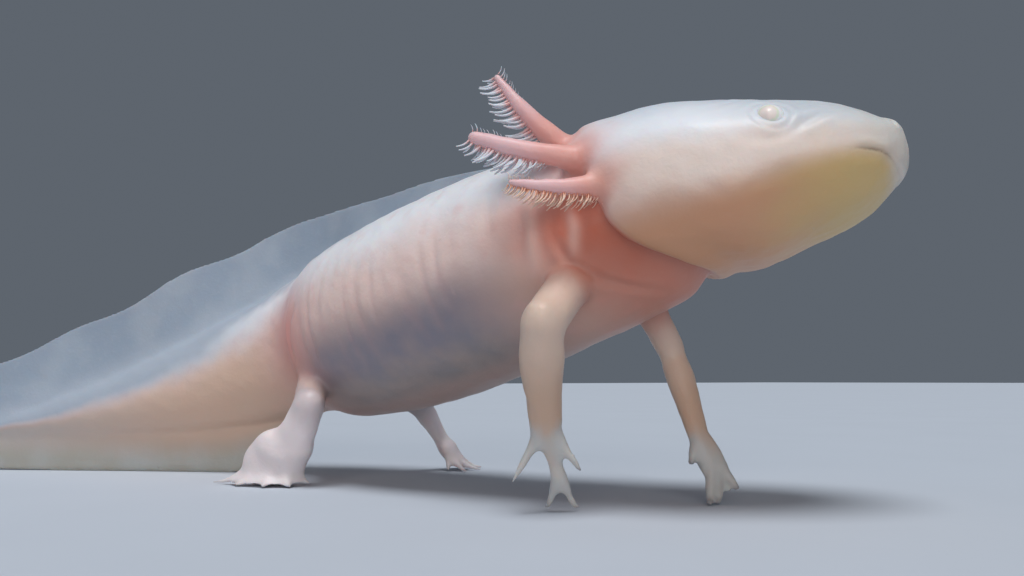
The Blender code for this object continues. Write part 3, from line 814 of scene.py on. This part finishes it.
def mark_skin(mesh):
    """Writes the masks that the skin's finish reads, one number a point each."""
    points, edges = mesh_arrays(mesh)
    p = Places(points)
    folds(points, p)
    flesh, limb = 1 - p.limb(1, 2, 3), p.limb(1, 2)
    fin, over_mouth = p.fin(), p.from_mouth()
    head = ramp(GULAR_FOLD + 0.6 - p.at, 0, 1.0 + 7.0 * ramp(p.sine, -0.25, 0.3))
    roots = [gill_path(label, side).point(3.0) for label in GILLS for side in SIDES]
    groins = [placed(GROIN[0], GROIN[1] * side, GROIN[2]) for side in SIDES]
    behind_fold = ramp(p.at, GULAR_FOLD - 0.3, GULAR_FOLD + 0.6) * flesh
    behind_fold *= ramp(50.0 + 3.0 * ramp(p.sine, -0.5, -0.1) - p.at, 0, 12)
    behind_fold *= ramp(0.5 - p.sine, 0, 0.5) * (0.6 + 0.4 * ramp(p.sine, -0.95, -0.4))
    jaw = ramp(-over_mouth, -1.2 - 0.04 * p.at, 1.4 + 0.04 * p.at)
    jaw *= 0.25 + 0.75 * ramp(p.at, 2, 5)
    # The lip mask marks the mouth's groove, where shade is painted.
    lip = bump(over_mouth, 0.0, 0.15) * (0.2 + 0.8 * ramp(p.at, 2.8, 4.2)) * ramp(9.0 - p.at, 0, 4)
    # Grey-purple where the gut shows through the skin, partly painted shade on the lower flank and
    # belly.
    gut = ramp(p.at, 47, 60) * ramp(103 - p.at, 0, 13)
    # It fades at the very bottom: a painted paler rim for light reflected up from below.
    gut *= ramp(-p.sine, 0.0, 0.5) * (1 - 0.6 * ramp(-p.sine, 0.86, 1.0))
    masks = {
        "station": p.at / TAIL_TIP,
        "upward": p.sine * 0.5 + 0.5,
        "fin": ramp(fin, 0.0, 0.3 + 0.5 * (p.sine < 0)),
        "fin_edge": fin,
        "limb": limb * ramp(p.share, 0.1, 0.34),
        "limb_share": p.share * limb,
        "hind": p.limb(2),
        "gill": p.limb(3),
        "gill_share": p.share * p.limb(3),
        "digit_tip": limb * ramp(p.share, 0.95, 1.0),
        "jaw": head * jaw,
        "head": head,
        "lip": head * lip,
        "blush": np.maximum(near_any(points, roots, GILL_BLUSH), behind_fold) * (1 - head * 0.55),
        "groin": near_any(points, groins, GROIN_BLUSH) * flesh,
        "groove": p.groove,
        "ridge": p.ridge,
        "gut": gut * flesh,
    }
    for name in ("limb", "limb_share", "hind", "gill", "gill_share"):
        masks[name] = soften(masks[name], edges, MASK_ROUNDS)
    masks["digit_tip"] = soften(masks["digit_tip"], edges, TIP_ROUNDS)
    for name, values in masks.items():
        write_layer(mesh, name, np.clip(values, 0, 1))


# ------- finishes

class Value:
    """A node's socket that arithmetic adds Math nodes to."""

    def __init__(self, nodes, socket):
        self.nodes, self.socket = nodes, socket

    def math(self, operation, *values):
        return self.nodes.node("ShaderNodeMath", dict(enumerate(values)), operation=operation)

    def __add__(self, other):
        return self.math("ADD", self, other)

    def __sub__(self, other):
        return self.math("SUBTRACT", self, other)

    def __rsub__(self, other):
        return self.math("SUBTRACT", other, self)

    def __mul__(self, other):
        return self.math("MULTIPLY", self, other)

    def __pow__(self, other):
        return self.math("POWER", self, other)

    def within(self, low, high):
        """0 below low, 1 above high and smooth between."""
        return self.nodes.node(
            "ShaderNodeMapRange", {"Value": self, "From Min": low, "From Max": high},
            interpolation_type="SMOOTHSTEP",
        )

    __radd__, __rmul__ = __add__, __mul__


class Nodes:
    """A node tree, built one node at a time."""

    def __init__(self, tree):
        self.tree = tree

    def node(self, kind, inputs=None, output=0, **settings):
        """Adds a node: its settings first, then the values or links of its sockets."""
        made = self.tree.nodes.new(kind)
        for key, value in settings.items():
            setattr(made, key, value)
        for key, value in (inputs or {}).items():
            socket = made.inputs[key]
            if isinstance(value, Value):
                self.tree.links.new(value.socket, socket)
            else:
                socket.default_value = (*value, 1) if socket.type == "RGBA" else value
        return Value(self, made.outputs[output])


class Finish(Nodes):
    """One material: a Principled shader with its fixed settings, and the nodes before it."""

    def __init__(self, name, **fixed):
        self.material = bpy.data.materials.new(name)
        self.material.use_nodes = True
        super().__init__(self.material.node_tree)
        self.shader = self.tree.nodes["Principled BSDF"]
        for key, value in fixed.items():
            self.shader.inputs[key.replace("_", " ")].default_value = value

    def mask(self, name):
        return self.node("ShaderNodeAttribute", output="Fac", attribute_name=name)

    def mix(self, base, colour, factor):
        """Colour laid over base by a factor."""
        return self.node(
            "ShaderNodeMix", {0: factor, 6: base, 7: colour}, 2,
            data_type="RGBA", clamp_factor=True,
        )

    def coats(self, colour, *coats):
        """Colours laid over the first one after another, each by its own factor."""
        for coat, factor in coats:
            colour = self.mix(colour, coat, factor)
        return colour

    def grain(self, size_mm, detail=3.0, roughness=0.5):
        """Noise of a size in millimetres, 0 to 1."""
        return self.node(
            "ShaderNodeTexNoise",
            {"Vector": self.node("ShaderNodeTexCoord", output="Object"),
             "Scale": 1 / (size_mm * MM), "Detail": detail, "Roughness": roughness},
        )

    def bumps(self, height, depth_mm):
        return self.node(
            "ShaderNodeBump", {"Height": height, "Distance": depth_mm * MM, "Strength": 1.0}
        )

    def feed(self, **values):
        for key, value in values.items():
            self.tree.links.new(value.socket, self.shader.inputs[key.replace("_", " ")])
        return self.material


def skin_finish():
    """The skin's colours, laid on from the trunk to the tail, head, legs, gills and fins."""
    f = Finish(
        "pale_skin", Subsurface_Weight=0.3, Subsurface_Radius=(1.0, 0.45, 0.3),
        Subsurface_Scale=1.6 * MM, Coat_Roughness=0.28, Coat_IOR=1.38, IOR=1.4,
    )
    upward, station = f.mask("upward"), f.mask("station")
    head, blush, fin = f.mask("head"), f.mask("blush"), f.mask("fin")
    cloud, blotch = f.grain(9.0, 2.0), f.grain(3.2)
    fine, pores = f.grain(1.3, 4.0, 0.6), f.grain(0.5, 2.0)
    # How high on the body, unevenly. low sinks towards the tip of the tail.
    tone = upward + (cloud - 0.5) * 0.2 + (blotch - 0.5) * 0.06
    low = tone + station.within(0.56, 0.92) * 0.34
    colour = f.coats(
        (0.62, 0.40, 0.33),
        ((0.84, 0.64, 0.58), tone.within(0.22, 0.55)),  # rose flank
        # bluish white back: the pale skin with painted cool light from above
        ((0.85, 0.86, 0.89), tone.within(0.54, 0.82)),  # white back
        ((0.78, 0.42, 0.38), blotch.within(0.5, 0.8) * 0.3),  # pink flecks
        # the gut showing through, partly painted shade low on the body
        (f.mix((0.30, 0.26, 0.25), (0.25, 0.23, 0.27), tone.within(0.05, 0.25)),
         f.mask("gut") * (cloud * 0.5 + blotch * 0.35 + 0.5)),
        # darker pink in the rib grooves: partly their own tint, partly painted shade in them
        ((0.50, 0.30, 0.30), f.mask("groove") * 0.22),
        # The tail's flesh: tan, then grey towards the tip, under a blue-grey back.
        (f.mix((0.66, 0.46, 0.34), (0.50, 0.48, 0.46), station.within(0.62, 0.9)),
         station.within(0.50, 0.60) * (1 - low.within(0.45, 0.84)) * 0.85),
        ((0.40, 0.45, 0.52), low.within(0.82, 0.95) * station.within(0.37, 0.45)),
        ((0.40, 0.45, 0.52), low.within(0.55, 0.88) * station.within(0.52, 0.66)),
    )
    cheek = f.coats(
        (0.72, 0.47, 0.36),
        ((0.84, 0.70, 0.62), tone.within(0.28, 0.50)),
        # white above and the blue crown: pale skin with painted cool light from above
        ((0.80, 0.82, 0.86), tone.within(0.56, 0.78)),  # white above
        ((0.62, 0.68, 0.76), tone.within(0.78, 0.98)),  # crown
        ((0.52, 0.56, 0.60), tone.within(0.46, 0.8) * (1 - station.within(0.05, 0.14)) * 0.8),
        ((0.62, 0.61, 0.56), (1 - station.within(0.0, 0.06)) * 0.8),  # snout
        ((0.80, 0.60, 0.42), cloud.within(0.5, 0.8) * (1 - tone.within(0.6, 0.85)) * 0.35),
    )
    # The jaw is tan in front and russet at the throat, partly its own colour and partly painted
    # warm light reflected up from below.
    behind_chin = (station + (cloud - 0.5) * 0.06).within(0.04, 0.13)
    colour = f.coats(
        colour,
        (cheek, head),
        (f.mix((0.62, 0.43, 0.17), (0.62, 0.31, 0.17), behind_chin), f.mask("jaw") * 0.9),
        ((0.68, 0.16, 0.08), blush * (blotch * 0.4 + 0.7)),
        # dark red-brown low behind the gular fold and under the gills: painted shadow
        ((0.34, 0.12, 0.08), blush * (1 - tone.within(0.2, 0.55)) * (1 - head) * 0.5),
        # paler on the ridges: painted highlight where they catch the light
        ((0.88, 0.66, 0.57), f.mask("ridge") * 0.45),
        ((0.72, 0.26, 0.22), f.mask("groin") * 0.75),
        # dark line along the mouth: painted shade in the groove between the lips
        ((0.20, 0.11, 0.08), f.mask("lip") * 0.55),
    )
    along = f.mask("limb_share")
    foreleg = f.coats(
        (0.70, 0.53, 0.43),  # cream
        ((0.60, 0.41, 0.30), along.within(0.35, 0.55)),  # warm forearm
        ((0.55, 0.54, 0.52), along.within(0.6, 0.8)),  # clear hand
    )
    hind_leg = f.coats(
        (0.50, 0.43, 0.44),
        ((0.91, 0.80, 0.79), along.within(0.25, 0.5)),  # pinkish white
        ((0.76, 0.68, 0.68), along.within(0.62, 0.8)),
    )
    gill_share = (f.mask("gill_share") + (blotch - 0.5) * 0.3).within(0.25, 0.8)
    clear_fin = f.coats(
        (0.38, 0.45, 0.54),
        ((0.46, 0.44, 0.38), 1 - upward.within(0.2, 0.5)),  # under the tail
        ((0.60, 0.64, 0.68), cloud.within(0.4, 0.7) * 0.3 + fine.within(0.5, 0.8) * 0.15),
    )
    colour = f.coats(
        colour,
        (f.mix(foreleg, hind_leg, f.mask("hind")), f.mask("limb")),
        ((0.20, 0.20, 0.23), f.mask("digit_tip") * 0.7),
        (f.mix((0.80, 0.38, 0.32), (0.80, 0.52, 0.53), gill_share), f.mask("gill")),
        (clear_fin, fin),
    )
    return f.feed(
        Base_Color=colour, Roughness=0.36 + fine * 0.16 + pores * 0.06,
        Coat_Weight=0.15 - fin * 0.04, Alpha=1 - fin * (0.12 + f.mask("fin_edge") * 0.18),
        Normal=f.bumps(fine * 0.5 + pores * 0.35 + blotch * 0.5, 0.09),
    )


def filament_finish():
    f = Finish("gill_filament", Subsurface_Weight=0.3, Subsurface_Radius=(1.0, 0.4, 0.3),
               Subsurface_Scale=0.4 * MM, IOR=1.38)
    cloud = f.grain(2.2, 2.0)
    root = f.mix((0.74, 0.42, 0.40), (0.74, 0.34, 0.22), f.mask("under"))
    tip = f.mix((0.66, 0.70, 0.76), (0.82, 0.56, 0.44), f.mask("under"))
    colour = f.mix(root, tip, (f.mask("along") + (cloud - 0.5) * 0.4).within(0.05, 0.5))
    return f.feed(Base_Color=colour, Roughness=0.32 + cloud * 0.2)


def eye_finish():
    f = Finish("eye", Coat_Weight=0.25, Coat_Roughness=0.16, Subsurface_Weight=0.4,
               Subsurface_Radius=(1.0, 0.6, 0.5), Subsurface_Scale=0.6 * MM)
    streak = f.grain(0.35)
    ring = f.mask("from_axis") + (streak - 0.5) * 0.03
    colour = f.mix((0.90, 0.78, 0.72), (0.80, 0.81, 0.66), ring.within(0.15, 0.18))
    colour = f.mix(colour, (0.92, 0.90, 0.90), ring.within(0.20, 0.24))
    return f.feed(Base_Color=colour, Roughness=0.34 + streak * 0.1)


# ------- eyes

def dress(mesh, name, finish, slot, *nodes):
    """Links a finished mesh as a piece that rides on the body and stands for CAD nodes."""
    mesh.materials.clear()
    mesh.materials.append(finish)
    mesh.shade_smooth()
    obj = link(name, mesh)
    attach(obj, "root")
    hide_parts(*nodes)


def to_row(mesh, shift):
    """From millimetres in the walking frame to metres in the part's frame."""
    points, _ = mesh_arrays(mesh)
    put_points(mesh, (points + shift) * MM)


def make_eye(side, shift):
    """A round eye with a slightly raised front."""
    sides, rows = 40, 24
    centre, left, up = spine_frame(EYE_AT)
    middle = centre + left * EYE_SIDE * side + up * EYE_HEIGHT
    axis = unit(left * side + up * 0.3)
    one = unit(np.cross(axis, (1.0, 0.2, 0.0)))
    other = np.cross(axis, one)
    turns = np.linspace(0.02, np.pi - 0.02, rows)
    angle = np.linspace(0, 2 * np.pi, sides, endpoint=False)
    rings = []
    for turn in turns:
        cornea = 0.10 * math.exp(-((turn / 0.5) ** 2))
        ring = axis * (math.cos(turn) * (1 + cornea))
        ring = ring + one * (np.cos(angle) * math.sin(turn))[:, None]
        ring = ring + other * (np.sin(angle) * math.sin(turn))[:, None]
        rings.append(middle + ring * EYE_RADIUS * 1.02)
    clay = Clay()
    clay.add(rings)
    mesh = clay.mesh(f"eye_{'left' if side > 0 else 'right'}_ball")
    face_out(mesh)
    values = np.concatenate([np.repeat(turns, sides), [0.0, np.pi]]) / np.pi
    write_layer(mesh, "from_axis", values)
    to_row(mesh, shift)
    return mesh


def face_out(mesh):
    """Turns a closed mesh's faces outwards."""
    points, _ = mesh_arrays(mesh)
    mesh.calc_loop_triangles()
    corners = read(mesh.loop_triangles, "vertices", 3, np.int32)
    a, b, c = points[corners].transpose(1, 0, 2)
    if (np.cross(a, b) * c).sum() < 0:
        mesh.flip_normals()


# ------- the gills' filaments

def stalk_lines(labels):
    """The gill stalks as lines, with what a filament needs to know at each point."""
    rows, edges = [], []
    for label in labels:
        _, left, _ = spine_frame(GILLS[label][0][0])
        for side in SIDES:
            path = gill_path(label, side)
            shares = np.linspace(0.22, 0.985, 24)
            edges += [(len(rows) + k, len(rows) + k + 1) for k in range(len(shares) - 1)]
            for share in shares:
                at = path.length * share
                back = path.forward(at, path.length * 0.04)
                out = unit(left * side - back * ((left * side) @ back))
                down = np.cross(back, out)
                late = ramp(share, 0.3, 0.62) if label == "middle" else 1.0
                rows.append((
                    path.point(at), -down if down[2] > 0 else down, out,
                    stalk_radius(label, share), blend(FILAMENTS, share) * late,
                    blend(TUFT, share), float(label == "lower"),
                ))
    points, *layers = zip(*rows)
    mesh = bpy.data.meshes.new("gill_filaments")
    mesh.from_pydata([tuple(p) for p in points], edges, [])
    for name, values in zip(("hang", "outward", "stalk", "grown", "tuft", "under"), layers):
        write_layer(mesh, name, values)
    return mesh


class ShapeNodes(Nodes):
    """A Geometry Nodes tree with a geometry in, a geometry out and named inputs."""

    def __init__(self, name, inputs):
        super().__init__(bpy.data.node_groups.new(name, "GeometryNodeTree"))
        face = self.tree.interface
        face.new_socket("Geometry", in_out="INPUT", socket_type="NodeSocketGeometry")
        face.new_socket("Geometry", in_out="OUTPUT", socket_type="NodeSocketGeometry")
        self.named = {}
        for label, (kind, value) in inputs.items():
            socket = face.new_socket(label, in_out="INPUT", socket_type=f"NodeSocket{kind}")
            if value is not None:
                socket.default_value = value
            self.named[label] = socket.identifier
        self.start = self.tree.nodes.new("NodeGroupInput")
        self.end = self.tree.nodes.new("NodeGroupOutput")

    def given(self, label):
        return Value(self, self.start.outputs[label])

    def vectors(self, operation, *values, scale=None):
        inputs = dict(enumerate(values))
        if scale is not None:
            inputs["Scale"] = scale
        return self.node("ShaderNodeVectorMath", inputs, operation=operation)

    def attribute(self, name, kind="FLOAT"):
        return self.node("GeometryNodeInputNamedAttribute", {"Name": name}, data_type=kind)

    def random(self, low, high, seed):
        return self.node(
            "FunctionNodeRandomValue", {2: low, 3: high, "Seed": seed}, 1, data_type="FLOAT"
        )


def filament_tree():
    """Rows of soft tapering filaments that hang from each line."""
    t = ShapeNodes("filament_rows", {
        "Count": ("Int", 30), "Length": ("Float", 3.0), "Thickness": ("Float", 0.15),
        "Spread": ("Float", 0.45), "Curl": ("Float", 0.3), "Seed": ("Int", 5),
        "Finish": ("Material", None),
    })
    curl, seed = t.given("Curl"), t.given("Seed")
    # One filament, along +Z, a millimetre long.
    middle = t.node("ShaderNodeCombineXYZ", {0: curl * -0.35, 2: 0.55})
    tip = t.node("ShaderNodeCombineXYZ", {0: curl, 2: 0.95})
    line = t.node(
        "GeometryNodeCurveQuadraticBezier",
        {"Resolution": 6, "Start": (0, 0, 0), "Middle": middle, "End": tip},
    )
    along = t.node("GeometryNodeSplineParameter")
    line = t.node(
        "GeometryNodeStoreNamedAttribute", {"Geometry": line, "Name": "along", "Value": along},
        data_type="FLOAT", domain="POINT",
    )
    taper = 1 - along**2 * 0.6
    line = t.node("GeometryNodeSetCurveRadius", {"Curve": line, "Radius": taper})
    ring = t.node(
        "GeometryNodeCurvePrimitiveCircle",
        {"Resolution": 5, "Radius": t.given("Thickness") * 0.3}, mode="RADIUS",
    )
    filament = t.node(
        "GeometryNodeCurveToMesh",
        {"Curve": line, "Profile Curve": ring, "Scale": taper, "Fill Caps": True},
    )
    stalks = t.node("GeometryNodeMeshToCurve", {"Mesh": t.given("Geometry")})
    stalks = t.node("GeometryNodeResampleCurve", {"Curve": stalks, "Count": t.given("Count")})
    hang, outward = (t.attribute(name, "FLOAT_VECTOR") for name in ("hang", "outward"))
    tangent = t.node("GeometryNodeInputTangent")
    joined = t.tree.nodes.new("GeometryNodeJoinGeometry")
    # Two rows below, one to each side, and the tuft on the back.
    for first_seed, sign, down, grown in (
        (0, -1.0, 1.0, "grown"), (10, 1.0, 1.0, "grown"), (20, 0.6, -1.0, "tuft"),
    ):
        spread = t.given("Spread") * sign + t.random(-0.22, 0.22, seed + first_seed)
        sweep = t.random(0.0, 0.4, seed + (first_seed + 1))
        way = t.vectors("SCALE", hang, scale=down)
        for direction, amount in ((outward, spread), (tangent, sweep)):
            way = t.vectors("ADD", way, t.vectors("SCALE", direction, scale=amount))
        way = t.vectors("NORMALIZE", way)
        turn = t.node(
            "FunctionNodeAxesToRotation", {0: way, 1: tangent},
            primary_axis="Z", secondary_axis="X",
        )
        root = t.vectors("SCALE", way, scale=t.attribute("stalk") * 0.8)
        places = t.node("GeometryNodeSetPosition", {"Geometry": stalks, "Offset": root})
        long = t.given("Length") * t.attribute(grown)
        long *= t.random(0.72, 1.12, seed + (first_seed + 2))
        row = t.node(
            "GeometryNodeInstanceOnPoints",
            {"Points": places, "Instance": filament, "Rotation": turn, "Scale": long},
        )
        t.tree.links.new(row.socket, joined.inputs[0])
    whole = t.node("GeometryNodeRealizeInstances", {0: Value(t, joined.outputs[0])})
    whole = t.node("GeometryNodeSetMaterial", {0: whole, "Material": t.given("Finish")})
    t.tree.links.new(whole.socket, t.end.inputs[0])
    return t


def make_filaments(tree, name, labels, sizes, shift):
    """The filaments of these stalks, as one plain mesh."""
    obj = link(name, stalk_lines(labels))
    modifier = obj.modifiers.new("filaments", "NODES")
    modifier.node_group = tree.tree
    for label, value in sizes.items():
        modifier[tree.named[label]] = value
    made = evaluated(obj, name)
    to_row(made, shift)
    return made


# ------- the studio

# The camera's place in the walking frame, its turn to the left of +Y and its rise, in degrees.
CAMERA_AT, CAMERA_TURN, CAMERA_RISE, LENS = (80.4, -106.3, 17.0), 42.0, 5.47, 33.75
# Each sun: its direction, its width in degrees, its strength and its colour.
SUNS = {
    "above": ((0.22, -0.26, 1.0), 26, 2.1, (0.95, 0.97, 1.0)),
    "beside": ((0.66, -0.75, 0.28), 40, 0.85, (1.0, 0.95, 0.90)),
}
FLOOR_CORNERS = [(-3, -3, 0), (6, -3, 0), (6, 6, 0), (-3, 6, 0)]  # in metres
FLOOR_COLOUR, BACKDROP_COLOUR, BACKDROP_STRENGTH = (0.58, 0.63, 0.70), (0.31, 0.36, 0.43), 0.36


def add_floor():
    mesh = bpy.data.meshes.new("floor")
    mesh.from_pydata(FLOOR_CORNERS, [], [(0, 1, 2, 3)])
    f = Finish("floor", Roughness=0.9)
    darker = tuple(c * 0.94 for c in FLOOR_COLOUR)
    mesh.materials.append(f.feed(Base_Color=f.mix(FLOOR_COLOUR, darker, f.grain(40.0))))
    floor = link("floor", mesh)


def add_sun(name, place, angle, strength, colour):
    """Even light from far away on one side, as soft as its angle in degrees is wide."""
    light = bpy.data.lights.new(name, "SUN")
    light.angle, light.energy, light.color = math.radians(angle), strength, colour
    link(name, light).rotation_euler = (-Vector(place)).to_track_quat("-Z", "Y").to_euler()


def add_camera(shift):
    camera = bpy.data.cameras.new("camera")
    camera.lens, camera.sensor_width = LENS, 36.0
    camera.clip_start, camera.clip_end = 0.01, 20.0
    obj = link("camera", camera)
    turn, rise = math.radians(CAMERA_TURN), math.radians(CAMERA_RISE)
    level = math.cos(rise)
    look = Vector((-math.sin(turn) * level, math.cos(turn) * level, math.sin(rise)))
    obj.location = (np.array(CAMERA_AT) + shift) * MM
    obj.rotation_euler = look.to_track_quat("-Z", "Y").to_euler()
    bpy.context.scene.camera = obj


def add_studio(shift):
    add_floor()
    for name, settings in SUNS.items():
        add_sun(name, *settings)
    world = bpy.data.worlds.new("studio")
    world.use_nodes = True
    backdrop = world.node_tree.nodes["Background"].inputs
    backdrop["Color"].default_value = (*BACKDROP_COLOUR, 1)
    backdrop["Strength"].default_value = BACKDROP_STRENGTH
    bpy.context.scene.world = world
    bpy.context.scene.view_settings.view_transform = "Standard"
    add_camera(shift)


def main():
    low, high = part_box("eye_right")
    eye = placed(EYE_AT, -EYE_SIDE, EYE_HEIGHT)
    shift = np.array((low + high) / 2) / MM - eye
    shift[2] = 0.0
    flesh = [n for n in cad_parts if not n.startswith("eye")]
    skin = make_skin()
    mark_skin(skin)
    to_row(skin, shift)
    dress(skin, "skin", skin_finish(), "skin", *flesh)
    finish = filament_finish()
    tree = filament_tree()
    for name, labels, sizes in FILAMENT_SETS:
        filaments = make_filaments(tree, name, labels, {**sizes, "Finish": finish}, shift)
        dress(filaments, name, finish, "gill", *[n for n in flesh if n.startswith("gill")])
    for label, side in (("left", 1), ("right", -1)):
        dress(make_eye(side, shift), f"eyeball_{label}", eye_finish(), "eye", f"eye_{label}")
    add_studio(shift)


main()
